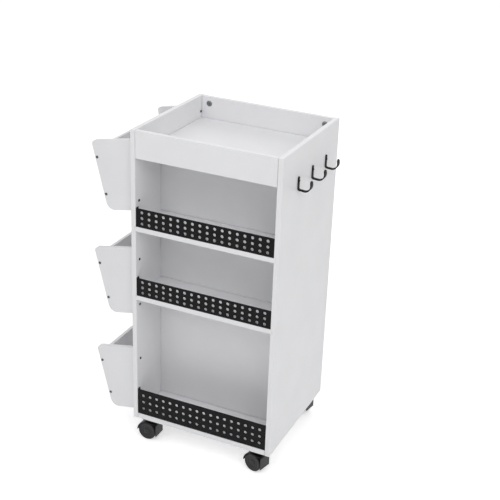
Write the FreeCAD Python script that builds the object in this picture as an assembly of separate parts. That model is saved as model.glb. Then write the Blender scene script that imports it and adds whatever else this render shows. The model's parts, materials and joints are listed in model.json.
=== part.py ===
import FreeCAD, Part
import math
import os

Vector = FreeCAD.Vector

# A rolling craft cart: a tall cabinet on four casters, open bays in front and behind,
# a tray on top, three slanted bins on the left side and three hooks on the right side.
# All sizes are in millimetres. X runs to the right, Y to the back and Z up from the floor.
# Until the last step, x and y are measured from the body's front left edge.

# Cabinet body.
BODY_WIDTH = 400.0
BODY_DEPTH = 355.0
BODY_HEIGHT = 811.0
BOARD = 12.7
BOTTOM_BOARD = 16.0
APRON_HEIGHT = 72.0
FRONT_BAY_DEPTH = 125.0
FRONT_BAY_HEIGHT = 178.5
HOUSING = 4.0

# Perforated guards along the front edges of the shelves.
GUARD_SHEET = 1.5
GUARD_SETBACK = 1.0
GUARD_FLANGE = 12.0
GUARD_BEND = 1.0
GUARD_MARGIN = 7.3
SHELF_GUARD_HEIGHT = 50.0
LOWER_GUARD_HEIGHT = 75.0
HOLE_RADIUS = 4.0
HOLE_COLUMNS = 18
HOLE_ROWS = 3
SHELF_ROW_PITCH = 15.0
LOWER_ROW_PITCH = 20.0

# Slanted bins on the left side.
BIN_BOARD = 12.0
BIN_END_INSET = 11.0
BIN_HEIGHT = 185.0
BIN_TOP_REACH = 117.5
BIN_SLOPE = math.radians(11.0)
BIN_LEAN = math.radians(14.3)
BIN_TOP_RADIUS = 10.0
BIN_LOWER_RADIUS = 22.0
LOWEST_BIN = 21.0
HIGHEST_BIN_DROP = 29.0
BIN_FACE_DROP = 22.0
BIN_FACE_HEIGHT = 138.0
FLOOR_GROOVE = 3.0
FACE_SCREW_INSET = 21.5
FACE_SCREW_SPACING = 96.0
MOUNT_SCREW_RISE = 28.0
MOUNT_SCREW_SPACING = 128.0
TRAY_SCREW_LIFT = 16.0

# Strap hooks on the right side.
HOOK_SHEET = 2.5
FIRST_HOOK = 96.0
HOOK_PITCH = 88.0
HOOK_BELOW_TOP = 108.0
HOOK_STEM_HEIGHT = 35.0
HOOK_STEM_WIDTH = 8.5
HOOK_TONGUE_WIDTH = 13.5
HOOK_ARM = 17.0
HOOK_ARM_DROP = 1.0
HOOK_CURVE_RADIUS = 19.0
HOOK_CURVE_TURN = math.radians(98.0)
HOOK_FLARE = 14.0
HOOK_TONGUE = 9.0
HOOK_SCREW_DROP = 11.0

# Joinery.
SCREW_HEAD_RADIUS = 3.5
SCREW_HEAD_HEIGHT = 1.6
SCREW_SHANK_RADIUS = 2.0
GUARD_SCREW_LENGTH = 11.0
MOUNT_SCREW_LENGTH = 40.0
FACE_SCREW_LENGTH = 32.0
HOOK_SCREW_LENGTH = 13.0
CAM_RADIUS = 7.5
CAM_DEPTH = 10.0
CAM_SETBACK = 22.0
CAM_BELOW_TOP = 20.0
CAM_BOLT_RADIUS = 3.0
DOWEL_RADIUS = 4.0
DOWEL_LENGTH = 30.0
PANEL_GRIP = 9.0

# Swivel casters with two wheels under a hood.
CASTER_HEIGHT = 65.0
CASTER_INSET_X = 41.5
CASTER_INSET_Y = 24.0
CASTER_TRAIL = 5.5
FRONT_RIGHT_TURN = -13.5
REAR_RIGHT_TURN = -8.5
REAR_LEFT_TURN = -4.0
WHEEL_RADIUS = 25.4
WHEEL_WIDTH = 11.0
WHEEL_SIDE_GAP = 0.4
WHEEL_CAP = 1.5
AXLE_RADIUS = 3.0
HOOD_WIDTH = 38.0
HOOD_WALL = 1.5
HOOD_RADIUS = 28.4
HOOD_RISE = 27.4
HOOD_NOSE = 23.5
HOOD_NOSE_RADIUS = 6.0
HOOD_SKIRT = 10.0
WEB_WIDTH = 12.0
SOCKET_RADIUS = 10.0
PLATE_SIZE = 42.0
PLATE_SHEET = 2.5
PLATE_CORNER = 4.0
PLATE_SCREW_INSET = 6.0
RACE_RADIUS = 12.0
RACE_HEIGHT = 4.0
KINGPIN_RADIUS = 4.0
KINGPIN_LENGTH = 30.0

# Fits between pieces that move on each other.
TURNING_CLEARANCE = 0.05
SWIVEL_GAP = 0.3
END_PLAY = 0.3

# Small rounds that repeat many times have this many flats.
HOLE_FLAT_COUNT = 6
SCREW_FLAT_COUNT = 6
CAM_FLAT_COUNT = 8
PIN_FLAT_COUNT = 10
END_FLAT_COUNT = 4
WHEEL_FLAT_COUNT = 40
CURVE_FLAT_COUNT = 6
NOSE_FLAT_COUNT = 3

# Sizes that follow from those above.
INNER_LEFT = BOARD
INNER_RIGHT = BODY_WIDTH - BOARD
INNER_WIDTH = INNER_RIGHT - INNER_LEFT
COLUMN_PITCH = (INNER_WIDTH - 2 * GUARD_MARGIN) / HOLE_COLUMNS
BASE = CASTER_HEIGHT
TOP = BASE + BODY_HEIGHT
APRON_BOTTOM = TOP - APRON_HEIGHT
UPPER_SHELF_TOP = APRON_BOTTOM - FRONT_BAY_HEIGHT
MIDDLE_SHELF_TOP = UPPER_SHELF_TOP - BOARD - FRONT_BAY_HEIGHT
BIN_PITCH = (BODY_HEIGHT - LOWEST_BIN - HIGHEST_BIN_DROP - BIN_HEIGHT) / 2
HOOK_BASE = TOP - HOOK_BELOW_TOP
DIVIDER_FRONT = FRONT_BAY_DEPTH
DIVIDER_BACK = FRONT_BAY_DEPTH + BOARD


def box(x0, x1, y0, y1, z0, z1):
    """A square-cut board between the given limits."""
    return Part.makeBox(x1 - x0, y1 - y0, z1 - z0, Vector(x0, y0, z0))


def flat_face(points):
    """A flat face with straight edges from point to point."""
    return Part.Face(Part.makePolygon(points + points[:1]))


def curve(centre, radius, start, end, flats):
    """Points along an arc about the centre, in the upright plane that runs to the right."""
    points = []
    for step in range(flats + 1):
        turn = start + (end - start) * step / flats
        points.append(centre + Vector(radius * math.cos(turn), 0, radius * math.sin(turn)))
    return points


def across(x, y, z, along, length, radius, flats):
    """A bar with flats whose corners lie on the radius, from a point along a direction."""
    points = []
    for step in range(flats):
        turn = 2 * math.pi * (step + 0.5) / flats
        points.append(Vector(radius * math.cos(turn), radius * math.sin(turn), 0))
    bar = flat_face(points).extrude(Vector(0, 0, length))
    bar.Placement = FreeCAD.Placement(Vector(x, y, z), FreeCAD.Rotation(Vector(0, 0, 1), along))
    return bar


def bore(x, y, z, along, length, radius, flats):
    """A cutter whose flats lie outside the radius, so that a shaft of that radius fits."""
    return across(x, y, z, along, length, radius / math.cos(math.pi / flats), flats)


def rounded_face(corners):
    """A flat face through corners (x, y, z, radius); a radius of zero leaves a corner sharp."""
    ends = []
    edges = []
    for index, (x, y, z, radius) in enumerate(corners):
        corner = Vector(x, y, z)
        before = Vector(*corners[index - 1][:3]) - corner
        after = Vector(*corners[(index + 1) % len(corners)][:3]) - corner
        before.normalize()
        after.normalize()
        if radius == 0:
            ends.append((corner, corner))
            continue
        half = before.getAngle(after) / 2
        inward = (before + after).normalize()
        middle = corner + inward * (radius / math.sin(half) - radius)
        start = corner + before * (radius / math.tan(half))
        end = corner + after * (radius / math.tan(half))
        ends.append((start, end))
        edges.append(Part.Arc(start, middle, end).toShape())
    for index, (start, end) in enumerate(ends):
        edges.append(Part.LineSegment(ends[index - 1][1], start).toShape())
    return Part.Face(Part.Wire(Part.__sortEdges__(edges)))


def upright(corners, y0, y1):
    """A piece with an outline of (x, z, radius) corners, as deep as from y0 to y1."""
    face = rounded_face([(x, y0, z, radius) for x, z, radius in corners])
    return face.extrude(Vector(0, y1 - y0, 0))


def drilled(board, fasteners):
    """The board with a seat for each fastener that enters it."""
    near = [item for item in fasteners if item.BoundBox.intersect(board.BoundBox)]
    if not near:
        return board
    return board.cut(Part.makeCompound(near)).Solids[0]


def screw(x, y, z, along, length):
    """A pan-head screw; the point is where its head seats, and it is driven along the direction."""
    seat = Vector(x, y, z)
    back = seat - along * SCREW_HEAD_HEIGHT
    head = across(back.x, back.y, back.z, along, SCREW_HEAD_HEIGHT, SCREW_HEAD_RADIUS, SCREW_FLAT_COUNT)
    shank = across(x, y, z, along, length, SCREW_SHANK_RADIUS, SCREW_FLAT_COUNT)
    return head.fuse(shank).removeSplitter().Solids[0]


LEFT = Vector(-1, 0, 0)
RIGHT = Vector(1, 0, 0)
BACKWARD = Vector(0, 1, 0)
FORWARD = Vector(0, -1, 0)
UP = Vector(0, 0, 1)
DOWN = Vector(0, 0, -1)


# Carcass boards

def carcass_boards():
    """The boards of the body, by name; the shelves and the divider are housed in their neighbours."""
    left, right = INNER_LEFT, INNER_RIGHT
    low_x, high_x = left - HOUSING, right + HOUSING
    divider_seat, rear_seat = DIVIDER_FRONT + HOUSING, DIVIDER_BACK - HOUSING
    housed = {}
    for level, shelf_top in (("upper", UPPER_SHELF_TOP), ("middle", MIDDLE_SHELF_TOP)):
        underside = shelf_top - BOARD
        housed[level + "_shelf"] = box(low_x, high_x, 0, divider_seat, underside, shelf_top)
        housed["rear_" + level + "_shelf"] = box(low_x, high_x, rear_seat, BODY_DEPTH, underside, shelf_top)
    divider = box(low_x, high_x, DIVIDER_FRONT, DIVIDER_BACK, BASE + BOTTOM_BOARD, APRON_BOTTOM)
    divider = divider.cut(list(housed.values())).Solids[0]
    housed["divider_panel"] = divider
    boards = dict(housed)
    boards["left_side_panel"] = box(0, left, 0, BODY_DEPTH, BASE, TOP).cut(list(housed.values()))
    boards["right_side_panel"] = box(right, BODY_WIDTH, 0, BODY_DEPTH, BASE, TOP).cut(list(housed.values()))
    boards["bottom_board"] = box(left, right, 0, BODY_DEPTH, BASE, BASE + BOTTOM_BOARD)
    boards["tray_floor"] = box(left, right, BOARD, BODY_DEPTH - BOARD, APRON_BOTTOM, APRON_BOTTOM + BOARD)
    boards["front_apron"] = box(left, right, 0, BOARD, APRON_BOTTOM, TOP)
    boards["rear_apron"] = box(left, right, BODY_DEPTH - BOARD, BODY_DEPTH, APRON_BOTTOM, TOP)
    return boards


# Shelf guards

def guard(base, height, row_pitch):
    """A perforated guard that stands on a board at the given height, with its ends bent back."""
    front = GUARD_SETBACK
    back = front + GUARD_SHEET
    end = front + GUARD_FLANGE
    outline = [
        (INNER_LEFT, front + GUARD_BEND), (INNER_LEFT + GUARD_BEND, front),
        (INNER_RIGHT - GUARD_BEND, front), (INNER_RIGHT, front + GUARD_BEND),
        (INNER_RIGHT, end), (INNER_RIGHT - GUARD_SHEET, end),
        (INNER_RIGHT - GUARD_SHEET, back), (INNER_LEFT + GUARD_SHEET, back),
        (INNER_LEFT + GUARD_SHEET, end), (INNER_LEFT, end),
    ]
    sheet = rounded_face([(x, y, base, 0) for x, y in outline]).extrude(Vector(0, 0, height))
    first_column = BODY_WIDTH / 2 - COLUMN_PITCH * (HOLE_COLUMNS - 1) / 2
    first_row = base + height / 2 - row_pitch * (HOLE_ROWS - 1) / 2
    holes = []
    for column in range(HOLE_COLUMNS):
        for row in range(HOLE_ROWS):
            x = first_column + column * COLUMN_PITCH
            z = first_row + row * row_pitch
            holes.append(across(x, 0, z, BACKWARD, back + BOARD, HOLE_RADIUS, HOLE_FLAT_COUNT))
    return sheet.cut(Part.makeCompound(holes)).Solids[0]


def guard_screws(base, height):
    """The two screws that hold a guard's flanges to the side panels."""
    y = GUARD_SETBACK + GUARD_SHEET + (GUARD_FLANGE - GUARD_SHEET) / 2
    z = base + height / 2
    return [
        screw(INNER_LEFT + GUARD_SHEET, y, z, LEFT, GUARD_SCREW_LENGTH),
        screw(INNER_RIGHT - GUARD_SHEET, y, z, RIGHT, GUARD_SCREW_LENGTH),
    ]


# Side bins

def bin_point(base, down, inward):
    """A point (x, z) on a bin, down along its slanted edge from the top corner and in from that edge."""
    top_x = -BIN_TOP_REACH
    top_z = base + BIN_HEIGHT - BIN_TOP_REACH * math.tan(BIN_SLOPE)
    x = top_x + down * math.sin(BIN_LEAN) + inward * math.cos(BIN_LEAN)
    z = top_z - down * math.cos(BIN_LEAN) + inward * math.sin(BIN_LEAN)
    return x, z


def bin_edge_length():
    """The length of the slanted edge, from the top corner to the line of the lower edge."""
    return BIN_HEIGHT / (math.cos(BIN_LEAN) + math.sin(BIN_LEAN) * math.tan(BIN_SLOPE))


def bin_end(base, y0, y1):
    """An end panel, with a square back against the body and a slanted, rounded outer edge."""
    top_x, top_z = bin_point(base, 0, 0)
    low_x, low_z = bin_point(base, bin_edge_length(), 0)
    corners = [
        (0, base, 0),
        (0, base + BIN_HEIGHT, 0),
        (top_x, top_z, BIN_TOP_RADIUS),
        (low_x, low_z, BIN_LOWER_RADIUS),
    ]
    return upright(corners, y0, y1)


def bin_face(base):
    """The slanted face panel between the end panels, flush with their outer edges."""
    low = BIN_FACE_DROP + BIN_FACE_HEIGHT
    corners = [
        bin_point(base, BIN_FACE_DROP, 0),
        bin_point(base, BIN_FACE_DROP, BIN_BOARD),
        bin_point(base, low, BIN_BOARD),
        bin_point(base, low, 0),
    ]
    front = BIN_END_INSET + BIN_BOARD
    return upright([(x, z, 0) for x, z in corners], front, BODY_DEPTH - front)


def bin_floor(base):
    """The floor, parallel to the end panels' lower edges, with its ends housed in their grooves."""
    low_x, low_z = bin_point(base, BIN_FACE_DROP + BIN_FACE_HEIGHT, BIN_BOARD)
    rise = BIN_BOARD / math.cos(BIN_LEAN - BIN_SLOPE)
    high_x, high_z = bin_point(base, BIN_FACE_DROP + BIN_FACE_HEIGHT - rise, BIN_BOARD)
    corners = [
        (low_x, low_z, 0),
        (high_x, high_z, 0),
        (0, high_z - high_x * math.tan(BIN_SLOPE), 0),
        (0, low_z - low_x * math.tan(BIN_SLOPE), 0),
    ]
    front = BIN_END_INSET + BIN_BOARD - FLOOR_GROOVE
    return upright(corners, front, BODY_DEPTH - front)


def bin_mount_screws(base):
    """Screws through the side panel into the end panels' edges; those in the tray clear its floor."""
    upper = base + MOUNT_SCREW_RISE + MOUNT_SCREW_SPACING
    if upper > APRON_BOTTOM:
        upper = APRON_BOTTOM + BOARD + TRAY_SCREW_LIFT
    screws = []
    for y in (BIN_END_INSET + BIN_BOARD / 2, BODY_DEPTH - BIN_END_INSET - BIN_BOARD / 2):
        for z in (base + MOUNT_SCREW_RISE, upper):
            screws.append(screw(INNER_LEFT, y, z, LEFT, MOUNT_SCREW_LENGTH))
    return screws


def bin_face_screws(base):
    """Screws through the end panels into the ends of the face panel."""
    screws = []
    first = BIN_FACE_DROP + FACE_SCREW_INSET
    for down in (first, first + FACE_SCREW_SPACING):
        x, z = bin_point(base, down, BIN_BOARD / 2)
        screws.append(screw(x, BIN_END_INSET, z, BACKWARD, FACE_SCREW_LENGTH))
        screws.append(screw(x, BODY_DEPTH - BIN_END_INSET, z, FORWARD, FACE_SCREW_LENGTH))
    return screws


# Hooks

def round_end(middle, upward, sideways, radius):
    """Points of a round end, from one side over the top to the other, with a few flats."""
    points = []
    for step in range(END_FLAT_COUNT + 1):
        turn = math.pi * step / END_FLAT_COUNT
        points.append(middle + sideways * (radius * math.cos(turn)) + upward * (radius * math.sin(turn)))
    return points


def strap_plate(start, along, outward, width, length):
    """A flat stretch of strap that ends round."""
    side = Vector(0, width / 2, 0)
    shoulder = start + along * (length - width / 2)
    corners = [start + side] + round_end(shoulder, along, BACKWARD, width / 2) + [start - side]
    return flat_face(corners).extrude(outward * HOOK_SHEET)


def hook_outline(y):
    """A hook's arm and curve as seen from above: as wide as the stem, then wider to the tongue."""
    flare = BODY_WIDTH + HOOK_ARM
    reach = flare + HOOK_CURVE_RADIUS
    side = [
        (BODY_WIDTH, HOOK_STEM_WIDTH / 2), (flare, HOOK_STEM_WIDTH / 2),
        (flare + HOOK_FLARE, HOOK_TONGUE_WIDTH / 2), (reach, HOOK_TONGUE_WIDTH / 2),
    ]
    near = [Vector(x, y - half, HOOK_BASE - HOOK_ARM_DROP) for x, half in side]
    far = [Vector(x, y + half, HOOK_BASE - HOOK_ARM_DROP) for x, half in reversed(side)]
    return flat_face(near + far).extrude(UP * (2 * HOOK_CURVE_RADIUS))


def hook(y):
    """A strap hook: a flat stem on the side panel, a short arm, a curve and a tongue that widens."""
    front = y - HOOK_TONGUE_WIDTH / 2
    base = HOOK_BASE
    heel = Vector(BODY_WIDTH, front, base)
    turn = HOOK_CURVE_TURN
    centre = Vector(BODY_WIDTH + HOOK_ARM, front, base - HOOK_ARM_DROP + HOOK_CURVE_RADIUS)
    lowest = -math.pi / 2
    outer = curve(centre, HOOK_CURVE_RADIUS, lowest, lowest + turn, CURVE_FLAT_COUNT)
    inner = curve(centre, HOOK_CURVE_RADIUS - HOOK_SHEET, lowest + turn, lowest, CURVE_FLAT_COUNT)
    elbow = heel + Vector(HOOK_SHEET, 0, HOOK_SHEET)
    shoulder = elbow + Vector(-HOOK_SHEET, 0, 0)
    band = flat_face([heel] + outer + inner + [elbow, shoulder])
    arm = band.extrude(Vector(0, HOOK_TONGUE_WIDTH, 0)).common(hook_outline(y))
    foot = Vector(BODY_WIDTH, y, shoulder.z)
    stem = strap_plate(foot, UP, RIGHT, HOOK_STEM_WIDTH, HOOK_STEM_HEIGHT - HOOK_SHEET)
    along = Vector(math.cos(turn), 0, math.sin(turn))
    inward = Vector(-math.sin(turn), 0, math.cos(turn))
    root = Vector(outer[-1].x, y, outer[-1].z)
    tongue = strap_plate(root, along, inward, HOOK_TONGUE_WIDTH, HOOK_TONGUE)
    return arm.fuse([stem, tongue]).removeSplitter().Solids[0]


def hook_screw(y):
    """The screw near the top of a hook's stem."""
    z = HOOK_BASE + HOOK_STEM_HEIGHT - HOOK_SCREW_DROP
    return screw(BODY_WIDTH + HOOK_SHEET, y, z, LEFT, HOOK_SCREW_LENGTH)


# Hidden joinery

def cam_pair(x_side, y, z, facing, board):
    """A cam lock in a board's face and its bolt into the side panel; x_side is -1 left, 1 right."""
    inner = INNER_LEFT if x_side < 0 else INNER_RIGHT
    cam_x = inner - x_side * CAM_SETBACK
    start = Vector(cam_x, y, z) + facing * (board / 2 - CAM_DEPTH)
    cam = across(start.x, start.y, start.z, facing, CAM_DEPTH, CAM_RADIUS, CAM_FLAT_COUNT)
    reach = CAM_SETBACK + PANEL_GRIP
    bolt = across(cam_x, y, z, Vector(x_side, 0, 0), reach, CAM_BOLT_RADIUS, SCREW_FLAT_COUNT)
    return cam.cut(bolt).Solids[0], bolt


def cam_pairs():
    """All cam locks with their bolts."""
    pairs = []
    apron_z = TOP - CAM_BELOW_TOP
    for side in (-1, 1):
        pairs.append(cam_pair(side, BOARD / 2, apron_z, BACKWARD, BOARD))
        pairs.append(cam_pair(side, BODY_DEPTH - BOARD / 2, apron_z, FORWARD, BOARD))
        for y in (BODY_DEPTH * 0.25, BODY_DEPTH * 0.75):
            pairs.append(cam_pair(side, y, BASE + BOTTOM_BOARD / 2, DOWN, BOTTOM_BOARD))
    return pairs


def tray_dowels():
    """The dowels between the tray floor and the side panels."""
    pegs = []
    z = APRON_BOTTOM + BOARD / 2
    for y in (BODY_DEPTH * 0.25, BODY_DEPTH * 0.75):
        left_end = INNER_LEFT - PANEL_GRIP
        right_end = INNER_RIGHT + PANEL_GRIP
        pegs.append(across(left_end, y, z, RIGHT, DOWEL_LENGTH, DOWEL_RADIUS, SCREW_FLAT_COUNT))
        pegs.append(across(right_end, y, z, LEFT, DOWEL_LENGTH, DOWEL_RADIUS, SCREW_FLAT_COUNT))
    return pegs


# Casters

def caster_plate(x, y):
    """The mounting plate under the bottom board, with its bearing race and four screw heads."""
    half = PLATE_SIZE / 2
    low = CASTER_HEIGHT - PLATE_SHEET
    cut = PLATE_CORNER
    outline = [
        (-half + cut, -half), (half - cut, -half), (half, -half + cut), (half, half - cut),
        (half - cut, half), (-half + cut, half), (-half, half - cut), (-half, -half + cut),
    ]
    plate = rounded_face([(x + dx, y + dy, low, 0) for dx, dy in outline]).extrude(Vector(0, 0, PLATE_SHEET))
    plate = plate.fuse(across(x, y, low - RACE_HEIGHT, UP, RACE_HEIGHT, RACE_RADIUS, PIN_FLAT_COUNT))
    reach = half - PLATE_SCREW_INSET
    for dx in (-reach, reach):
        for dy in (-reach, reach):
            z = low - SCREW_HEAD_HEIGHT
            plate = plate.fuse(across(x + dx, y + dy, z, UP, SCREW_HEAD_HEIGHT, SCREW_HEAD_RADIUS, SCREW_FLAT_COUNT))
    return plate.removeSplitter()


def kingpin(x, y):
    """The pin that is riveted in the plate and turns in the hood's socket."""
    return across(x, y, CASTER_HEIGHT, DOWN, KINGPIN_LENGTH, KINGPIN_RADIUS, PIN_FLAT_COUNT)


def hood_arc(x, y, radius, rise):
    """Points of the hood's rear curve, from the axle's level up to the flat top."""
    axle = Vector(x - CASTER_TRAIL, y, WHEEL_RADIUS)
    return curve(axle, radius, math.pi, math.pi - math.asin(rise / radius), CURVE_FLAT_COUNT)


def hood_block(x, y):
    """The hood's outer form, solid between its sides."""
    top = WHEEL_RADIUS + HOOD_RISE
    nose = x + HOOD_NOSE
    skirt = WHEEL_RADIUS - HOOD_SKIRT
    front = y - HOOD_WIDTH / 2
    rear_curve = hood_arc(x, front, HOOD_RADIUS, HOOD_RISE)
    middle = Vector(nose - HOOD_NOSE_RADIUS, front, top - HOOD_NOSE_RADIUS)
    corner = curve(middle, HOOD_NOSE_RADIUS, math.pi / 2, 0, NOSE_FLAT_COUNT)
    lower = [Vector(nose, front, skirt), Vector(x - CASTER_TRAIL, front, skirt)]
    return flat_face(rear_curve + corner + lower).extrude(Vector(0, HOOD_WIDTH, 0))


def wheel_pocket(x, y0, y1):
    """The space inside the hood for one wheel, open below."""
    rear_curve = hood_arc(x, y0, HOOD_RADIUS - HOOD_WALL, HOOD_RISE - HOOD_WALL)
    nose = x + HOOD_NOSE - HOOD_WALL
    lining = [Vector(nose, y0, rear_curve[-1].z), Vector(nose, y0, 0), Vector(rear_curve[0].x, y0, 0)]
    return flat_face(rear_curve + lining).extrude(Vector(0, y1 - y0, 0))


def hood(x, y):
    """The hood: a curved cover over both wheels, a web between them and the kingpin's socket."""
    front = y - HOOD_WIDTH / 2
    body = hood_block(x, y)
    body = body.cut(wheel_pocket(x, front, y - WEB_WIDTH / 2))
    body = body.cut(wheel_pocket(x, y + WEB_WIDTH / 2, front + HOOD_WIDTH))
    ceiling = WHEEL_RADIUS + HOOD_RISE - HOOD_WALL
    socket_top = CASTER_HEIGHT - PLATE_SHEET - RACE_HEIGHT - SWIVEL_GAP
    body = body.fuse(across(x, y, ceiling, UP, socket_top - ceiling, SOCKET_RADIUS, PIN_FLAT_COUNT))
    pin_end = CASTER_HEIGHT - KINGPIN_LENGTH - END_PLAY
    body = body.cut(bore(x, y, pin_end, UP, CASTER_HEIGHT, KINGPIN_RADIUS + TURNING_CLEARANCE, PIN_FLAT_COUNT))
    seat = across(x - CASTER_TRAIL, front, WHEEL_RADIUS, BACKWARD, HOOD_WIDTH, AXLE_RADIUS, PIN_FLAT_COUNT)
    return body.cut(seat).removeSplitter().Solids[0]


def axle(x, y):
    """The axle, pressed through the web and reaching into both wheels."""
    half = WEB_WIDTH / 2 + WHEEL_SIDE_GAP + WHEEL_WIDTH - WHEEL_CAP - END_PLAY
    return across(x - CASTER_TRAIL, y - half, WHEEL_RADIUS, BACKWARD, 2 * half, AXLE_RADIUS, PIN_FLAT_COUNT)


def wheel(x, y, outward):
    """One of a caster's two wheels, closed by a cap on the side that faces outward."""
    inner_y = y + outward.y * (WEB_WIDTH / 2 + WHEEL_SIDE_GAP)
    axle_x = x - CASTER_TRAIL
    disc = across(axle_x, inner_y, WHEEL_RADIUS, outward, WHEEL_WIDTH, WHEEL_RADIUS, WHEEL_FLAT_COUNT)
    depth = WHEEL_WIDTH - WHEEL_CAP
    radius = AXLE_RADIUS + TURNING_CLEARANCE
    return disc.cut(bore(axle_x, inner_y, WHEEL_RADIUS, outward, depth, radius, PIN_FLAT_COUNT)).Solids[0]


def casters(parts):
    """Adds the four casters, and returns their kingpins."""
    right = BODY_WIDTH - CASTER_INSET_X
    rear = BODY_DEPTH - CASTER_INSET_Y
    places = {
        "front_left": (CASTER_INSET_X, CASTER_INSET_Y, 0.0),
        "front_right": (right, CASTER_INSET_Y, FRONT_RIGHT_TURN),
        "rear_left": (CASTER_INSET_X, rear, REAR_LEFT_TURN),
        "rear_right": (right, rear, REAR_RIGHT_TURN),
    }
    pins = []
    for place, (x, y, turn) in places.items():
        pin = kingpin(x, y)
        pins.append(pin)
        parts[place + "_caster_plate"] = caster_plate(x, y).cut(pin)
        swivelling = {
            "_caster_hood": hood(x, y),
            "_caster_axle": axle(x, y),
            "_caster_front_wheel": wheel(x, y, FORWARD),
            "_caster_rear_wheel": wheel(x, y, BACKWARD),
        }
        for name, shape in swivelling.items():
            parts[place + name] = shape.rotate(Vector(x, y, 0), UP, turn)
    return pins


# The whole cart

def cart():
    """Every piece by name, with groups of like fasteners as lists of solids."""
    parts = carcass_boards()
    levels = {
        "upper": (UPPER_SHELF_TOP, SHELF_GUARD_HEIGHT, SHELF_ROW_PITCH),
        "middle": (MIDDLE_SHELF_TOP, SHELF_GUARD_HEIGHT, SHELF_ROW_PITCH),
        "lower": (BASE + BOTTOM_BOARD, LOWER_GUARD_HEIGHT, LOWER_ROW_PITCH),
    }
    groups = {"guard_screws": [], "bin_mount_screws": [], "bin_corner_screws": [], "hook_screws": []}
    for step, (level, (base, height, row_pitch)) in enumerate(levels.items()):
        bin_base = BASE + LOWEST_BIN + BIN_PITCH * (len(levels) - 1 - step)
        front = BIN_END_INSET
        back = BODY_DEPTH - BIN_END_INSET
        parts[level + "_guard"] = guard(base, height, row_pitch)
        parts[level + "_bin_front_end"] = bin_end(bin_base, front, front + BIN_BOARD)
        parts[level + "_bin_rear_end"] = bin_end(bin_base, back - BIN_BOARD, back)
        parts[level + "_bin_face"] = bin_face(bin_base)
        floor = bin_floor(bin_base)
        parts[level + "_bin_floor"] = floor
        for end in ("_bin_front_end", "_bin_rear_end"):
            parts[level + end] = parts[level + end].cut(floor).Solids[0]
        groups["guard_screws"] += guard_screws(base, height)
        groups["bin_mount_screws"] += bin_mount_screws(bin_base)
        groups["bin_corner_screws"] += bin_face_screws(bin_base)
    for index, name in enumerate(("front_hook", "middle_hook", "rear_hook")):
        y = FIRST_HOOK + index * HOOK_PITCH
        parts[name] = hook(y)
        groups["hook_screws"].append(hook_screw(y))
    pairs = cam_pairs()
    groups["cam_locks"] = [cam for cam, bolt in pairs]
    groups["cam_bolts"] = [bolt for cam, bolt in pairs]
    groups["tray_dowels"] = tray_dowels()
    fasteners = [solid for group in groups.values() for solid in group]
    parts = {name: drilled(shape, fasteners) for name, shape in parts.items()}
    groups["caster_kingpins"] = casters(parts)
    for name, solids in groups.items():
        parts[name] = Part.makeCompound(solids)
    return parts


def centred(parts):
    """The pieces moved so that the middle of the whole cart's footprint is at x = 0 and y = 0."""
    limits = FreeCAD.BoundBox()
    for shape in parts.values():
        limits.add(shape.BoundBox)
    shift = Vector(-limits.Center.x, -limits.Center.y, 0)
    for shape in parts.values():
        shape.translate(shift)
    return parts, shift


os.makedirs("parts", exist_ok=True)
PARTS, SHIFT = centred(cart())
for part_name, part_shape in PARTS.items():
    part_shape.exportStep(os.path.join("parts", part_name + ".step"))
print(len(PARTS), "pieces, moved by", SHIFT)
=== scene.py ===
import bmesh
import bpy
import json
import math
from mathutils import Matrix, Vector


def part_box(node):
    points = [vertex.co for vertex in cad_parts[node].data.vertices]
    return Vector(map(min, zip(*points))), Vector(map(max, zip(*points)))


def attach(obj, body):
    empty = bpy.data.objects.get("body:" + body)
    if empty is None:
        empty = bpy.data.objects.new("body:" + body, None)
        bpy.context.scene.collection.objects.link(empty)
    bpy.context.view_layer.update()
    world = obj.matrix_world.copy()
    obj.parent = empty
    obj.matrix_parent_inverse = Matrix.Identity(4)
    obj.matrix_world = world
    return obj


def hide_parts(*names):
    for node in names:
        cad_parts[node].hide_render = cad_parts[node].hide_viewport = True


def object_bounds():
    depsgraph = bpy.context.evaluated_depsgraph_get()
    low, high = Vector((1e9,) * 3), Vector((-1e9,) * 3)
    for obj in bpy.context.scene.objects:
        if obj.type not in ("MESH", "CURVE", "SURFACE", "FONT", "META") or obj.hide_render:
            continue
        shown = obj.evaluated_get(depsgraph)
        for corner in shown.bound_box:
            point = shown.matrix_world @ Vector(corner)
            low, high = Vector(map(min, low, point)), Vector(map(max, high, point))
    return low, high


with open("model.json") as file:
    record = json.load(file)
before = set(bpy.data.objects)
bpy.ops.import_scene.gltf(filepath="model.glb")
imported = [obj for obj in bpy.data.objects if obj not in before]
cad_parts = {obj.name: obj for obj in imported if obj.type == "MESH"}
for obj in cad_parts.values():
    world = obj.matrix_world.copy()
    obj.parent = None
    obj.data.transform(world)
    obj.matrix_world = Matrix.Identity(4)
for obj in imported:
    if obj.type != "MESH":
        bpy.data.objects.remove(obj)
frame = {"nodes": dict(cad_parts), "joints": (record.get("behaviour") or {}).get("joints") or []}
cad_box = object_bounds()
NODES = frame["nodes"]
MM = 0.001
DARK_STOP, LIGHT_STOP = 0.3, 0.7  # where a noise value counts as its low and its high end
WELD_DISTANCE = 0.01
LEVELS = ("upper", "middle", "lower")
PLACES = ("front_left", "front_right", "rear_left", "rear_right")


def srgb(red, green, blue):
    """A linear colour from display values of 0 to 255."""
    values = []
    for value in (red, green, blue):
        value /= 255
        values.append(value / 12.92 if value <= 0.04045 else ((value + 0.055) / 1.055) ** 2.4)
    return (*values, 1.0)


# Materials

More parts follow.
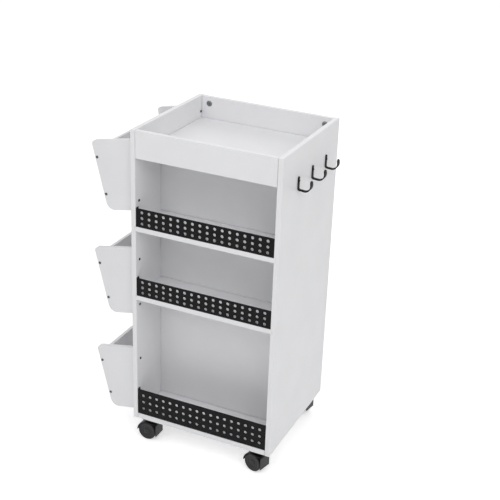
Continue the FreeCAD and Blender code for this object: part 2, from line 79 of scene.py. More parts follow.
class Nodes:
    """A material's node tree, with short calls to add and join nodes."""

    def __init__(self, name):
        self.material = bpy.data.materials.new(name)
        self.material.use_nodes = True
        self.tree = self.material.node_tree
        self.shader = self.tree.nodes["Principled BSDF"]
        self.place = self.add("ShaderNodeTexCoord").outputs["Object"]

    def add(self, kind, **settings):
        node = self.tree.nodes.new(kind)
        for key, value in settings.items():
            setattr(node, key, value)
        return node

    def join(self, source, target):
        self.tree.links.new(source, target)

    def noise(self, scale, detail=3.0, roughness=0.5, stretch=None):
        node = self.add("ShaderNodeTexNoise")
        node.inputs["Scale"].default_value = scale
        node.inputs["Detail"].default_value = detail
        node.inputs["Roughness"].default_value = roughness
        if stretch:
            mapping = self.add("ShaderNodeMapping")
            mapping.inputs["Scale"].default_value = stretch
            self.join(self.place, mapping.inputs["Vector"])
            self.join(mapping.outputs["Vector"], node.inputs["Vector"])
        else:
            self.join(self.place, node.inputs["Vector"])
        return node.outputs["Fac"]

    def ramp(self, factor, stops):
        node = self.add("ShaderNodeValToRGB")
        elements = node.color_ramp.elements
        elements[0].position, elements[0].color = stops[0]
        elements[1].position, elements[1].color = stops[-1]
        for position, colour in stops[1:-1]:
            elements.new(position).color = colour
        self.join(factor, node.inputs["Fac"])
        return node.outputs["Color"]

    def tones(self, factor, dark, light):
        """A colour that goes from dark to light with a noise value."""
        return self.ramp(factor, [(DARK_STOP, dark), (LIGHT_STOP, light)])

    def spread(self, factor, low, high):
        node = self.add("ShaderNodeMapRange")
        node.inputs["To Min"].default_value = low
        node.inputs["To Max"].default_value = high
        node.inputs["From Min"].default_value = DARK_STOP
        node.inputs["From Max"].default_value = LIGHT_STOP
        self.join(factor, node.inputs["Value"])
        return node.outputs["Result"]

    def mix(self, factor, first, second, blend="MIX"):
        node = self.add("ShaderNodeMix", data_type="RGBA", blend_type=blend)
        for socket, value in ((node.inputs[0], factor), (node.inputs[6], first), (node.inputs[7], second)):
            if hasattr(value, "links"):
                self.join(value, socket)
            else:
                socket.default_value = value
        return node.outputs[2]

    def bump(self, heights):
        """Adds up bumps from (height socket, distance in millimetres, strength)."""
        normal = None
        for height, distance, strength in heights:
            node = self.add("ShaderNodeBump")
            node.inputs["Strength"].default_value = strength
            node.inputs["Distance"].default_value = distance * MM
            self.join(height, node.inputs["Height"])
            if normal:
                self.join(normal, node.inputs["Normal"])
            normal = node.outputs["Normal"]
        self.join(normal, self.shader.inputs["Normal"])

    def finish(self, colour, roughness, **constants):
        self.join(colour, self.shader.inputs["Base Color"])
        self.join(roughness, self.shader.inputs["Roughness"])
        for key, value in constants.items():
            self.shader.inputs[key].default_value = value
        return self.material


def board_material(name, light, dark):
    """White melamine foil: a soft mottle, tiny pale and dull specks and a fine satin skin."""
    nodes = Nodes(name)
    mottle = nodes.noise(9.0, 4.0, 0.6)
    speck = nodes.noise(420.0, 3.0, 0.6)
    skin = nodes.noise(1500.0, 2.0, 0.5)
    base = nodes.tones(mottle, dark, light)
    dull, clear = (0.975, 0.975, 0.975, 1), (1, 1, 1, 1)
    specks = nodes.ramp(speck, [(DARK_STOP, dull), (0.45, clear), (LIGHT_STOP, clear)])
    colour = nodes.mix(1.0, base, specks, "MULTIPLY")
    nodes.bump([(skin, 0.03, 0.35), (mottle, 0.3, 0.1)])
    return nodes.finish(colour, nodes.spread(speck, 0.38, 0.48))


def coated_material(name, light, dark, sheen):
    """Black powder coat: a fine pebbled skin with small bright and dull patches."""
    nodes = Nodes(name)
    patches = nodes.noise(45.0, 4.0, 0.6)
    pebble = nodes.noise(1300.0, 2.0, 0.5)
    orange = nodes.noise(320.0, 2.0, 0.5)
    colour = nodes.tones(patches, dark, light)
    nodes.bump([(orange, 0.12, 0.35), (pebble, 0.06, 0.4)])
    return nodes.finish(colour, nodes.spread(pebble, 0.42, 0.55), **{"Specular IOR Level": sheen})


def moulded_material(name, light, dark, sheen):
    """Moulded nylon: a fine spark grain, soft flow marks and a dull sheen."""
    nodes = Nodes(name)
    flow = nodes.noise(70.0, 5.0, 0.65, (1.0, 1.0, 0.35))
    grain = nodes.noise(1900.0, 3.0, 0.6)
    colour = nodes.tones(flow, dark, light)
    nodes.bump([(grain, 0.04, 0.35)])
    return nodes.finish(colour, nodes.spread(flow, 0.3, 0.42), **{"Specular IOR Level": sheen})


def metal_material(name, light, dark, low, high):
    """Plated steel: fine drawn lines, cloudy plating and small changes in gloss."""
    nodes = Nodes(name)
    cloud = nodes.noise(160.0, 4.0, 0.6)
    drawn = nodes.noise(2200.0, 2.0, 0.5, (1.0, 1.0, 0.1))
    colour = nodes.tones(cloud, dark, light)
    nodes.bump([(drawn, 0.02, 0.35)])
    return nodes.finish(colour, nodes.spread(drawn, low, high), Metallic=1.0)


def wood_material(name, light, dark):
    """Beech: rings drawn out along the dowel with short darker flecks."""
    nodes = Nodes(name)
    grain = nodes.noise(420.0, 5.0, 0.6, (0.08, 1.0, 1.0))
    fleck = nodes.noise(1500.0, 2.0, 0.5, (0.25, 1.0, 1.0))
    base = nodes.tones(grain, dark, light)
    flecks = nodes.ramp(fleck, [(0.62, (1, 1, 1, 1)), (0.72, (0.72, 0.62, 0.52, 1))])
    colour = nodes.mix(1.0, base, flecks, "MULTIPLY")
    nodes.bump([(grain, 0.08, 0.5)])
    return nodes.finish(colour, nodes.spread(grain, 0.55, 0.7))


FINISH = {
    "white_board": board_material("white_board_finish", srgb(235, 235, 237), srgb(231, 231, 233)),
    "bin_board": board_material("bin_board_finish", srgb(233, 233, 235), srgb(229, 229, 231)),
    "black_sheet": coated_material("black_sheet_finish", srgb(22, 22, 23), srgb(15, 15, 16), 0.11),
    "hook_strap": coated_material("hook_strap_finish", srgb(18, 18, 19), srgb(12, 12, 13), 0.12),
    "zinc_cam": metal_material("zinc_cam_finish", srgb(150, 153, 152), srgb(112, 115, 115), 0.3, 0.45),
    "steel": metal_material("steel_finish", srgb(96, 98, 102), srgb(70, 72, 76), 0.24, 0.36),
    "dark_screw": coated_material("dark_screw_finish", srgb(30, 30, 31), srgb(20, 20, 21), 0.25),
    "beech_dowel": wood_material("beech_dowel_finish", srgb(214, 182, 140), srgb(190, 154, 112)),
    "caster_plate": metal_material("caster_plate_finish", srgb(66, 66, 68), srgb(48, 48, 50), 0.36, 0.5),
    "caster_hood": moulded_material("caster_hood_finish", srgb(26, 26, 27), srgb(18, 18, 19), 0.3),
    "caster_wheel": moulded_material("caster_wheel_finish", srgb(38, 38, 38), srgb(28, 28, 28), 0.3),
}


# Mesh helpers

def new_object(name, mesh_data, finish):
    """An object of a bmesh, with a finish named as the record's material slot."""
    mesh = bpy.data.meshes.new(name)
    bmesh.ops.recalc_face_normals(mesh_data, faces=mesh_data.faces)
    mesh_data.to_mesh(mesh)
    mesh_data.free()
    mesh.materials.append(FINISH[finish])
    piece = bpy.data.objects.new(name, mesh)
    bpy.context.scene.collection.objects.link(piece)
    return piece


def stand_for(piece, node, body="cabinet"):
    """The piece takes the place of a node and moves with the node's body."""
    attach(piece, body)
    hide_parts(node)


def soften(piece, width, angle=30.0, segments=2):
    """Small rounds along a piece's sharp edges, shaded evenly over its flats."""
    bevel = piece.modifiers.new("rounds", "BEVEL")
    bevel.width = width * MM
    bevel.segments = segments
    bevel.limit_method = "ANGLE"
    bevel.angle_limit = math.radians(angle)
    bevel.use_clamp_overlap = True
    shading = piece.modifiers.new("shading", "WEIGHTED_NORMAL")
    shading.keep_sharp = False


def weld(piece):
    """Joins the corners that a CAD mesh keeps apart face by face."""
    modifier = piece.modifiers.new("joined", "WELD")
    modifier.merge_threshold = WELD_DISTANCE * MM


def lathe(profile, segments):
    """A solid of revolution about Z from (radius, height) points; ends on the axis close it."""
    work = bmesh.new()
    rings = []
    for radius, height in profile:
        if radius == 0:
            rings.append([work.verts.new((0, 0, height))] * segments)
            continue
        ring = []
        for step in range(segments):
            turn = 2 * math.pi * step / segments
            ring.append(work.verts.new((radius * math.cos(turn), radius * math.sin(turn), height)))
        rings.append(ring)
    for lower, upper in zip(rings, rings[1:]):
        for step in range(segments):
            after = (step + 1) % segments
            corners = [lower[step], lower[after], upper[after], upper[step]]
            unique = list(dict.fromkeys(corners))
            if len(unique) > 2:
                work.faces.new(unique).smooth = True
    return work


def fillet(points, radius, steps=4):
    """The line of (a, b) points with each inner corner rounded."""
    line = [points[0]]
    for before, corner, after in zip(points, points[1:], points[2:]):
        corner = Vector(corner)
        start = Vector(before) - corner
        end = Vector(after) - corner
        reach = min(radius, start.length * 0.45, end.length * 0.45)
        start = corner + start.normalized() * reach
        end = corner + end.normalized() * reach
        for step in range(steps + 1):
            t = step / steps
            line.append(tuple(start * (1 - t) ** 2 + corner * (2 * t * (1 - t)) + end * t ** 2))
    line.append(points[-1])
    return line


def pointing(direction):
    """The turn that takes Z to a direction."""
    return Vector((0, 0, 1)).rotation_difference(Vector(direction)).to_matrix().to_4x4()


def copies(name, master, places, finish):
    """One object with a copy of a master mesh at each (point, direction, spin)."""
    work = bmesh.new()
    for point, direction, spin in places:
        before = len(work.verts)
        work.from_mesh(master)
        work.verts.ensure_lookup_table()
        matrix = Matrix.Translation(point) @ pointing(direction) @ Matrix.Rotation(spin, 4, "Z")
        bmesh.ops.transform(work, matrix=matrix, verts=work.verts[before:])
    return new_object(name, work, finish)


def carved(body, cutter):
    """The mesh of one bmesh less another."""
    objects = []
    for work in (body, cutter):
        bmesh.ops.recalc_face_normals(work, faces=work.faces)
        mesh = bpy.data.meshes.new("work")
        work.to_mesh(mesh)
        work.free()
        item = bpy.data.objects.new("work", mesh)
        bpy.context.scene.collection.objects.link(item)
        objects.append(item)
    cut = objects[0].modifiers.new("cut", "BOOLEAN")
    cut.operation = "DIFFERENCE"
    cut.solver = "EXACT"
    cut.object = objects[1]
    depsgraph = bpy.context.evaluated_depsgraph_get()
    mesh = bpy.data.meshes.new_from_object(objects[0].evaluated_get(depsgraph))
    for item in objects:
        bpy.data.objects.remove(item)
    return mesh


# Boards and other parts that keep their solid's mesh

def keep(node, finish, width, gap=0.0):
    """A CAD node with its finish, small rounds along its edges and a hairline gap to its neighbours."""
    piece = NODES[node]
    if not piece.material_slots:
        piece.data.materials.append(None)
    for index in range(len(piece.material_slots)):
        piece.material_slots[index].material = FINISH[finish]
    weld(piece)
    if gap:
        shrink = piece.modifiers.new("gap", "DISPLACE")
        shrink.mid_level = 0.0
        shrink.strength = -gap * math.sqrt(3) * MM
    soften(piece, width)


for board in ("left_side_panel", "right_side_panel"):
    keep(board, "white_board", 1.0)
for board in ("upper_shelf", "middle_shelf", "rear_upper_shelf", "rear_middle_shelf"):
    keep(board, "white_board", 0.8)
for board in ("bottom_board", "divider_panel", "tray_floor", "front_apron", "rear_apron"):
    keep(board, "white_board", 0.8, gap=0.7)
for level in LEVELS:
    for part in ("front_end", "rear_end", "face", "floor"):
        keep(level + "_bin_" + part, "bin_board", 0.8)
for hidden, finish in (("cam_bolts", "steel"), ("tray_dowels", "beech_dowel"), ("caster_kingpins", "steel")):
    keep(hidden, finish, 0.3)
for place in PLACES:
    keep(place + "_caster_plate", "caster_plate", 0.3)
    keep(place + "_caster_axle", "steel", 0.3)
    keep(place + "_caster_hood", "caster_hood", 0.5)


# Perforated guards

SHEET = 1.5
HOLE_RADIUS = 4.0
COLUMNS = 18
ROWS = 3
COLUMN_PITCH = 20.0
HOLE_STEPS = 32
GUARD_BEND = 2.0
BEND_STEPS = 6


def upright(edges):
    """The edges of a strip that stand upright, which are the ones at its far end."""
    return [edge for edge in edges if abs(edge.verts[0].co.z - edge.verts[1].co.z) > 1e-7]


def guard(node, row_pitch):
    """A perforated sheet with round holes and its ends bent back on a radius."""
    low, high = (Vector(corner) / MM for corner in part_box(node))
    middle_x, middle_z = (low.x + high.x) / 2, (low.z + high.z) / 2
    work = bmesh.new()
    made = {}

    def point(x, z):
        """The vertex at a place along the unrolled sheet."""
        key = (round(x, 3), round(z, 3))
        if key not in made:
            made[key] = work.verts.new((x * MM, low.y * MM, z * MM))
        return made[key]

    def cell(x, z, half_x, half_z):
        """One hole in its rectangle of sheet."""
        ring, rim = [], []
        for step in range(HOLE_STEPS):
            turn = 2 * math.pi * (step + 0.5) / HOLE_STEPS
            dx, dz = math.cos(turn), math.sin(turn)
            reach = min(half_x / abs(dx), half_z / abs(dz))
            ring.append(point(x + HOLE_RADIUS * dx, z + HOLE_RADIUS * dz))
            rim.append(point(x + reach * dx, z + reach * dz))
        corners = {}
        for sign_x in (-1, 1):
            for sign_z in (-1, 1):
                corners[(sign_x, sign_z)] = point(x + sign_x * half_x, z + sign_z * half_z)
        for step in range(HOLE_STEPS):
            after = (step + 1) % HOLE_STEPS
            face = [ring[step], ring[after], rim[after]]
            here, there = rim[step].co, rim[after].co
            if abs(here.x - there.x) > 1e-7 and abs(here.z - there.z) > 1e-7:
                sign_x = 1 if here.x + there.x > 2 * x * MM else -1
                sign_z = 1 if here.z + there.z > 2 * z * MM else -1
                face.append(corners[(sign_x, sign_z)])
            face.append(rim[step])
            work.faces.new(face)

    first_x = middle_x - COLUMN_PITCH * (COLUMNS - 1) / 2
    first_z = middle_z - row_pitch * (ROWS - 1) / 2
    for column in range(COLUMNS):
        for row in range(ROWS):
            cell(first_x + column * COLUMN_PITCH, first_z + row * row_pitch, COLUMN_PITCH / 2, row_pitch / 2)

    def strip(edges, shift):
        """Extends boundary edges by a shift in millimetres."""
        grown = bmesh.ops.extrude_edge_only(work, edges=edges)["geom"]
        verts = [item for item in grown if isinstance(item, bmesh.types.BMVert)]
        bmesh.ops.translate(work, verts=verts, vec=Vector(shift) * MM)
        return [item for item in grown if isinstance(item, bmesh.types.BMEdge) and item.is_boundary]

    def border(axis, value):
        """The boundary edges that lie on a line of the sheet."""
        found = []
        for edge in work.edges:
            if edge.is_boundary and all(abs(vert.co[axis] - value * MM) < 1e-6 for vert in edge.verts):
                found.append(edge)
        return found

    strip(border(2, first_z - row_pitch / 2), (0, 0, low.z - first_z + row_pitch / 2))
    top_z = first_z + row_pitch * (ROWS - 0.5)
    strip(border(2, top_z), (0, 0, high.z - top_z))
    left_x = first_x - COLUMN_PITCH / 2
    right_x = middle_x * 2 - first_x + COLUMN_PITCH / 2
    for side, edge_x, start in ((-1, low.x, left_x), (1, high.x, right_x)):
        edges = strip(border(0, start), (edge_x - side * GUARD_BEND - start, 0, 0))
        x, y = 0.0, 0.0
        for step in range(1, BEND_STEPS + 1):
            turn = math.radians(90 * step / BEND_STEPS)
            next_x, next_y = GUARD_BEND * math.sin(turn), GUARD_BEND * (1 - math.cos(turn))
            edges = upright(strip(edges, (side * (next_x - x), next_y - y, 0)))
            x, y = next_x, next_y
        strip(edges, (0, high.y - low.y - GUARD_BEND, 0))
    piece = new_object(node + "_sheet", work, "black_sheet")
    thick = piece.modifiers.new("sheet", "SOLIDIFY")
    thick.thickness = SHEET * MM
    thick.offset = -1.0
    thick.use_even_offset = True
    soften(piece, 0.2, 40.0, 1)
    stand_for(piece, node)


for level, row_pitch in (("upper", 15.0), ("middle", 15.0), ("lower", 20.0)):
    guard(level + "_guard", row_pitch)


# Screws

HEAD_RADIUS = 3.5
HEAD_HEIGHT = 1.6
HEAD_EDGE = 0.15
SHANK_RADIUS = 2.0
TIP_LENGTH = 3.0
DOME_STEPS = 6
DOME_START = 0.45  # the share of the head's height and radius where its dome begins


def recess(radius, depth, top):
    """A cutter for a cross recess that narrows downward."""
    work = bmesh.new()
    rings = []
    for height, arm, half in ((top - depth, radius * 0.5, radius * 0.14), (top + 0.3, radius, radius * 0.2)):
        quarter = [(arm, -half), (arm, half), (half, half)]
        ring = []
        for turn in range(4):
            cos, sin = round(math.cos(turn * math.pi / 2)), round(math.sin(turn * math.pi / 2))
            for x, y in quarter:
                ring.append(work.verts.new(((x * cos - y * sin) * MM, (x * sin + y * cos) * MM, height * MM)))
        rings.append(ring)
    low, high = rings
    work.faces.new(list(reversed(low)))
    work.faces.new(high)
    for step in range(len(low)):
        after = (step + 1) % len(low)
        work.faces.new([low[step], low[after], high[after], high[step]])
    return work


def screw_mesh(length):
    """A pan-head screw along Z with its head seated at zero and its shank going down."""
    profile = [(0, -length), (SHANK_RADIUS * 0.25, -length + 0.3), (SHANK_RADIUS, -length + TIP_LENGTH)]
    profile += [(SHANK_RADIUS, 0), (HEAD_RADIUS - HEAD_EDGE, 0), (HEAD_RADIUS, HEAD_EDGE)]
    profile.append((HEAD_RADIUS, HEAD_HEIGHT * DOME_START))
    for step in range(1, DOME_STEPS):
        turn = math.radians(90 * step / DOME_STEPS)
        across = DOME_START + (1 - DOME_START) * math.cos(turn)
        rise = DOME_START + (1 - DOME_START) * math.sin(turn)
        profile.append((HEAD_RADIUS * across, HEAD_HEIGHT * rise))
    profile += [(HEAD_RADIUS * 0.3, HEAD_HEIGHT), (0, HEAD_HEIGHT)]
    body = lathe([(r * MM, z * MM) for r, z in profile], 24)
    return carved(body, recess(HEAD_RADIUS * 0.55, HEAD_HEIGHT * 0.75, HEAD_HEIGHT))


def solids_of(node):
    """The centres and sizes of the separate solids in a group node, in millimetres."""
    work = bmesh.new()
    work.from_mesh(NODES[node].data)
    bmesh.ops.remove_doubles(work, verts=work.verts, dist=WELD_DISTANCE * MM)
    work.verts.ensure_lookup_table()
    seen, found = set(), []
    for start in work.verts:
        if start.index in seen:
            continue
        island, queue = [], [start]
        seen.add(start.index)
        while queue:
            vert = queue.pop()
            island.append(vert.co.copy())
            for edge in vert.link_edges:
                other = edge.other_vert(vert)
                if other.index not in seen:
                    seen.add(other.index)
                    queue.append(other)
        low = Vector([min(co[axis] for co in island) for axis in range(3)])
        high = Vector([max(co[axis] for co in island) for axis in range(3)])
        found.append((low / MM, high / MM))
    work.free()
    return found


def screw_places(node, facing):
    """Where each screw of a group seats: facing(middle) gives the outward direction."""
    places = []
    for index, (low, high) in enumerate(solids_of(node)):
        middle = (low + high) / 2
        direction = Vector(facing(middle))
        axis = [abs(value) for value in direction].index(1)
        seat = middle.copy()
        end = high[axis] if direction[axis] > 0 else low[axis]
        seat[axis] = end - direction[axis] * HEAD_HEIGHT
        places.append((seat * MM, direction, 0.7 + 1.3 * index))
    return places


MIDDLE = (Vector(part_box("left_side_panel")[0]) + Vector(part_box("right_side_panel")[1])) / 2 / MM

SCREWS = {
    "guard_screws": (11.0, "dark_screw", lambda at: (1, 0, 0) if at.x < MIDDLE.x else (-1, 0, 0)),
    "bin_mount_screws": (40.0, "dark_screw", lambda at: (1, 0, 0)),
    "bin_corner_screws": (32.0, "steel", lambda at: (0, -1, 0) if at.y < MIDDLE.y else (0, 1, 0)),
    "hook_screws": (13.0, "dark_screw", lambda at: (1, 0, 0)),
}
for node, (length, finish, facing) in SCREWS.items():
    stand_for(copies(node + "_heads", screw_mesh(length), screw_places(node, facing), finish), node)


# Cam locks

CAM_RADIUS = 7.5
CAM_DEPTH = 10.0
# The lip around the cam's face, as (distance in from the rim, depth below the face).
CAM_LIP = ((0, 0.5), (0.25, 0.15), (0.6, 0), (1.1, 0), (1.3, 0.3), (1.6, 0.3), (1.8, 0))


def cam_mesh():
    """A cast cam: a round body with a cross slot and a groove near its rim."""
    profile = [(0, -CAM_DEPTH), (CAM_RADIUS - 0.4, -CAM_DEPTH), (CAM_RADIUS, -CAM_DEPTH + 0.4)]
    profile += [(CAM_RADIUS - inward, -below) for inward, below in CAM_LIP]
    profile.append((0, 0))
    body = lathe([(r * MM, z * MM) for r, z in profile], 40)
    return carved(body, recess(4.2, 2.4, 0))


def cam_places():
    """Where each cam's open face lies and which way it looks."""
    places = []
    for low, high in solids_of("cam_locks"):
        size = high - low
        middle = (low + high) / 2
        misses = [abs(value - CAM_DEPTH) for value in size]
        axis = misses.index(min(misses))
        direction = Vector((0, 0, 0))
        if axis == 2:
            direction.z = -1
        else:
            direction.y = 1 if middle.y < MIDDLE.y else -1
        face = middle.copy()
        face[axis] = high[axis] if direction[axis] > 0 else low[axis]
        places.append((face * MM, direction, 0.35))
    return places


stand_for(copies("cam_lock_faces", cam_mesh(), cam_places(), "zinc_cam"), "cam_locks")


# Hooks

STRAP = 2.5
STEM_HEIGHT = 35.0
STEM_WIDTH = 8.5
TONGUE_WIDTH = 13.5
TONGUE = 9.0
ELBOW = 3.0
ARM = 17.0
ARM_DROP = 1.0
CURVE_RADIUS = 18.8
CURVE_TURN = math.radians(98.0)
FLARE = 14.0  # how far past the curve's start the strap reaches its full width
END_STEPS = 8
ELBOW_STEPS = 6
CURVE_STEPS = 24


def strap_line(wall, base):
    """The strap's inner line as (x, z, width), down the stem, round the curve and up the tongue."""
    line = []
    straight = STEM_HEIGHT - STRAP - ELBOW
    for step in range(END_STEPS + 1):
        # The stem stops just short of the elbow, so that no two points coincide.
        line.append((wall + STRAP, base + STEM_HEIGHT - straight * step / END_STEPS * 0.999, STEM_WIDTH))
    centre_x, centre_z = wall + STRAP + ELBOW, base + STRAP + ELBOW
    for step in range(1, ELBOW_STEPS + 1):
        turn = math.radians(180 + 90 * step / ELBOW_STEPS)
        line.append((centre_x + ELBOW * math.cos(turn), centre_z + ELBOW * math.sin(turn), STEM_WIDTH))
    curve_x, curve_z = wall + ARM, base - ARM_DROP + CURVE_RADIUS
    inner = CURVE_RADIUS - STRAP
    for step in range(CURVE_STEPS + 1):
        turn = CURVE_TURN * step / CURVE_STEPS
        x = curve_x + inner * math.sin(turn)
        z = curve_z - inner * math.cos(turn)
        flare = min(1.0, (x - curve_x) / FLARE)
        line.append((x, z, STEM_WIDTH + (TONGUE_WIDTH - STEM_WIDTH) * flare))
    start_x, start_z, _ = line[-1]
    for step in range(1, END_STEPS + 1):
        reach = TONGUE * step / END_STEPS
        x, z = start_x + math.cos(CURVE_TURN) * reach, start_z + math.sin(CURVE_TURN) * reach
        line.append((x, z, TONGUE_WIDTH))
    return line


def hook(node):
    """A flat strap bent into a stem, a short arm, a curve and a tongue, with round ends."""
    low, high = (Vector(corner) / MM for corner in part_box(node))
    y = (low.y + high.y) / 2
    line = strap_line(low.x, high.z - STEM_HEIGHT)
    lengths = [0.0]
    for before, after in zip(line, line[1:]):
        lengths.append(lengths[-1] + math.hypot(after[0] - before[0], after[1] - before[1]))
    stations = [(length, *place) for length, place in zip(lengths, line)]
    work = bmesh.new()
    rows = []
    for x, z, width in round_stations(stations, STEM_WIDTH / 2, TONGUE_WIDTH / 2):
        row = []
        for share in (-1.0, -0.5, 0.0, 0.5, 1.0):
            row.append(work.verts.new((x * MM, (y + share * width / 2) * MM, z * MM)))
        rows.append(row)
    for lower, upper in zip(rows, rows[1:]):
        for index in range(len(lower) - 1):
            work.faces.new([lower[index], lower[index + 1], upper[index + 1], upper[index]])
    piece = new_object(node + "_strap", work, "hook_strap")
    thick = piece.modifiers.new("strap", "SOLIDIFY")
    thick.thickness = STRAP * MM
    thick.offset = 1.0
    thick.use_even_offset = True
    soften(piece, 0.35, 40.0)
    stand_for(piece, node)


def round_stations(stations, first_radius, last_radius):
    """Stations along the strap with extra ones where its ends turn round."""
    total = stations[-1][0]
    least = 0.0025  # the square of half the width that an end narrows to

    def at(length):
        for before, after in zip(stations, stations[1:]):
            if length <= after[0] + 1e-9:
                span = after[0] - before[0]
                t = (length - before[0]) / span if span else 0.0
                return tuple(before[i] + (after[i] - before[i]) * t for i in (1, 2, 3))
        return stations[-1][1:]

    picks = set()
    for step in range(END_STEPS + 1):
        turn = math.pi / 2 * step / END_STEPS
        picks.add(round(first_radius * (1 - math.cos(turn)), 5))
        picks.add(round(total - last_radius * (1 - math.cos(turn)), 5))
    for length, *_ in stations:
        if first_radius < length < total - last_radius:
            picks.add(round(length, 5))
    fine = []
    for length in sorted(picks):
        x, z, width = at(length)
        if length < first_radius:
            width = 2 * math.sqrt(max(first_radius ** 2 - (first_radius - length) ** 2, least))
        if length > total - last_radius:
            left = total - length
            width = 2 * math.sqrt(max(last_radius ** 2 - (last_radius - left) ** 2, least))
        fine.append((x, z, width))
    return fine


for place in ("front", "middle", "rear"):
    hook(place + "_hook")


# Caster wheels

WHEEL_WIDTH = 11.0
AXES = {joint["child"]: joint["axis"] for joint in frame["joints"]}


# Half of a wheel's section as (radius, height): the axle's blind bore, the inner side with the
# tread, and the dished and ringed outer face.
WHEEL_SECTION = (
    (0.0, 9.4), (3.15, 9.4), (3.15, 0.6), (8.0, 0.6), (8.0, 0.0),
    (21.0, 0.0), (23.9, 0.0), (25.3, 1.4), (25.3, 9.4), (23.7, 11.0),
    (20.2, 11.0), (19.6, 10.2), (15.6, 9.8), (15.2, 10.3), (13.9, 10.3), (13.5, 9.6), (8.8, 9.2),
    (8.2, 10.4), (6.6, 10.8), (0.0, 10.8),
)


def wheel(place, side):
    """One wheel of a caster, lathed about its axle."""
    node = place + "_caster_" + side + "_wheel"
    low, high = (Vector(corner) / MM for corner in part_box(node))
    profile = fillet(WHEEL_SECTION, 0.5, 3)
    work = lathe([(r * MM, z * MM) for r, z in profile], 72)
    outward = Vector(AXES[place + "_" + side + "_wheel"])
    if (side == "front") == (outward.y > 0):
        outward = -outward
    middle = (low + high) / 2 - outward * WHEEL_WIDTH / 2
    matrix = Matrix.Translation(middle * MM) @ pointing(outward)
    bmesh.ops.transform(work, matrix=matrix, verts=work.verts)
    piece = new_object(node + "_disc", work, "caster_wheel")
    stand_for(piece, node, place + "_" + side + "_wheel")


for place in PLACES:
    for side in ("front", "rear"):
        wheel(place, side)


# Floor, light and camera

FLOOR_GLOW = 0.46
WORLD_LIGHT = 0.57
AIM = Vector((0.05, 0.0, 0.45))
LAMPS = (
    # name, place, size and power in watts
    ("key", (-0.6, -2.6, 2.9), 2.4, 17.5),
    ("fill", (1.9, -1.6, 2.6), 2.2, 22.5),
    ("top", (0.2, 0.3, 3.2), 2.6, 3.5),
    ("back", (-0.8, 2.6, 2.4), 2.4, 12.0),
)
PICTURE = 500
SENSOR = 36.0
FOCAL_PIXELS = 1049.8
PICTURE_CENTRE = (294.7, 230.5)
CAMERA_HEIGHT = 1.6813
CAMERA_OFFSET = (1.2593, -2.0536)  # from the body's front left corner


def stage():
    """A plain pale floor that shows white to the camera and keeps the object's shadow."""
    nodes = Nodes("floor_finish")
    mottle = nodes.noise(3.0, 2.0, 0.5)
    colour = nodes.tones(mottle, srgb(247, 247, 247), srgb(250, 250, 250))
    nodes.finish(colour, nodes.spread(mottle, 0.8, 0.9))
    path = nodes.add("ShaderNodeLightPath")
    seen = nodes.add("ShaderNodeMath", operation="ADD", use_clamp=True)
    nodes.join(path.outputs["Is Camera Ray"], seen.inputs[0])
    nodes.join(path.outputs["Is Glossy Ray"], seen.inputs[1])
    also = nodes.add("ShaderNodeMath", operation="ADD", use_clamp=True)
    nodes.join(seen.outputs[0], also.inputs[0])
    nodes.join(path.outputs["Is Transmission Ray"], also.inputs[1])
    share = nodes.add("ShaderNodeMath", operation="MULTIPLY")
    nodes.join(also.outputs[0], share.inputs[0])
    share.inputs[1].default_value = FLOOR_GLOW
    nodes.shader.inputs["Emission Color"].default_value = (1, 1, 1, 1)
    nodes.join(share.outputs[0], nodes.shader.inputs["Emission Strength"])
    work = bmesh.new()
    bmesh.ops.create_grid(work, x_segments=8, y_segments=8, size=9.0)
    mesh = bpy.data.meshes.new("floor")
    work.to_mesh(mesh)
    work.free()
    mesh.materials.append(nodes.material)
    floor = bpy.data.objects.new("floor", mesh)
    floor.location.z = cad_box[0][2] - 0.0005
    bpy.context.scene.collection.objects.link(floor)


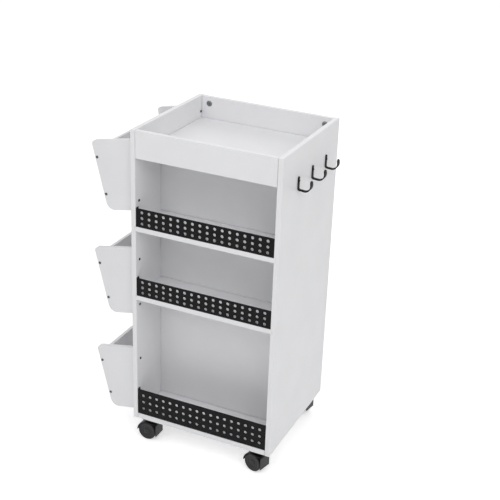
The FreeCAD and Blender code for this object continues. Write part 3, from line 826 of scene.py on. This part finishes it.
def light():
    """White surroundings for the camera and soft even light for the object."""
    world = bpy.data.worlds.new("studio")
    bpy.context.scene.world = world
    world.use_nodes = True
    tree = world.node_tree
    background = tree.nodes["Background"]
    background.inputs["Color"].default_value = (1, 1, 1, 1)
    path = tree.nodes.new("ShaderNodeLightPath")
    seen = tree.nodes.new("ShaderNodeMath")
    seen.operation = "ADD"
    seen.use_clamp = True
    tree.links.new(path.outputs["Is Camera Ray"], seen.inputs[0])
    tree.links.new(path.outputs["Is Glossy Ray"], seen.inputs[1])
    strength = tree.nodes.new("ShaderNodeMapRange")
    strength.inputs["To Min"].default_value = WORLD_LIGHT
    strength.inputs["To Max"].default_value = 1.0
    tree.links.new(seen.outputs[0], strength.inputs["Value"])
    tree.links.new(strength.outputs["Result"], background.inputs["Strength"])
    for name, place, size, power in LAMPS:
        lamp = bpy.data.lights.new(name, "AREA")
        lamp.shape = "DISK"
        lamp.size = size
        lamp.energy = power
        item = bpy.data.objects.new(name, lamp)
        item.location = place
        item.rotation_euler = (AIM - Vector(place)).to_track_quat("-Z", "Y").to_euler()
        bpy.context.scene.collection.objects.link(item)


def camera():
    """The camera at the photograph's place, turn and focal length."""
    azimuth, elevation, roll = math.radians(21.84), math.radians(23.74), math.radians(3.17)
    level = math.cos(elevation)
    back = Vector((math.sin(azimuth) * level, -math.cos(azimuth) * level, math.sin(elevation)))
    right = (-back).cross(Vector((0, 0, 1))).normalized()
    up = back.cross(right)
    turned_right = right * math.cos(roll) + up * math.sin(roll)
    turned_up = up * math.cos(roll) - right * math.sin(roll)
    lens = bpy.data.cameras.new("camera")
    lens.sensor_width = SENSOR
    lens.lens = SENSOR * FOCAL_PIXELS / PICTURE
    lens.shift_x = (PICTURE / 2 - PICTURE_CENTRE[0]) / PICTURE
    lens.shift_y = (PICTURE_CENTRE[1] - PICTURE / 2) / PICTURE
    lens.clip_end = 50.0
    item = bpy.data.objects.new("camera", lens)
    turn = Matrix((turned_right, turned_up, back)).transposed().to_4x4()
    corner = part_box("left_side_panel")[0]
    place = (corner[0] + CAMERA_OFFSET[0], corner[1] + CAMERA_OFFSET[1], CAMERA_HEIGHT)
    item.matrix_world = Matrix.Translation(place) @ turn
    bpy.context.scene.collection.objects.link(item)
    bpy.context.scene.camera = item


stage()
light()
camera()
bpy.context.scene.view_settings.view_transform = "Standard"
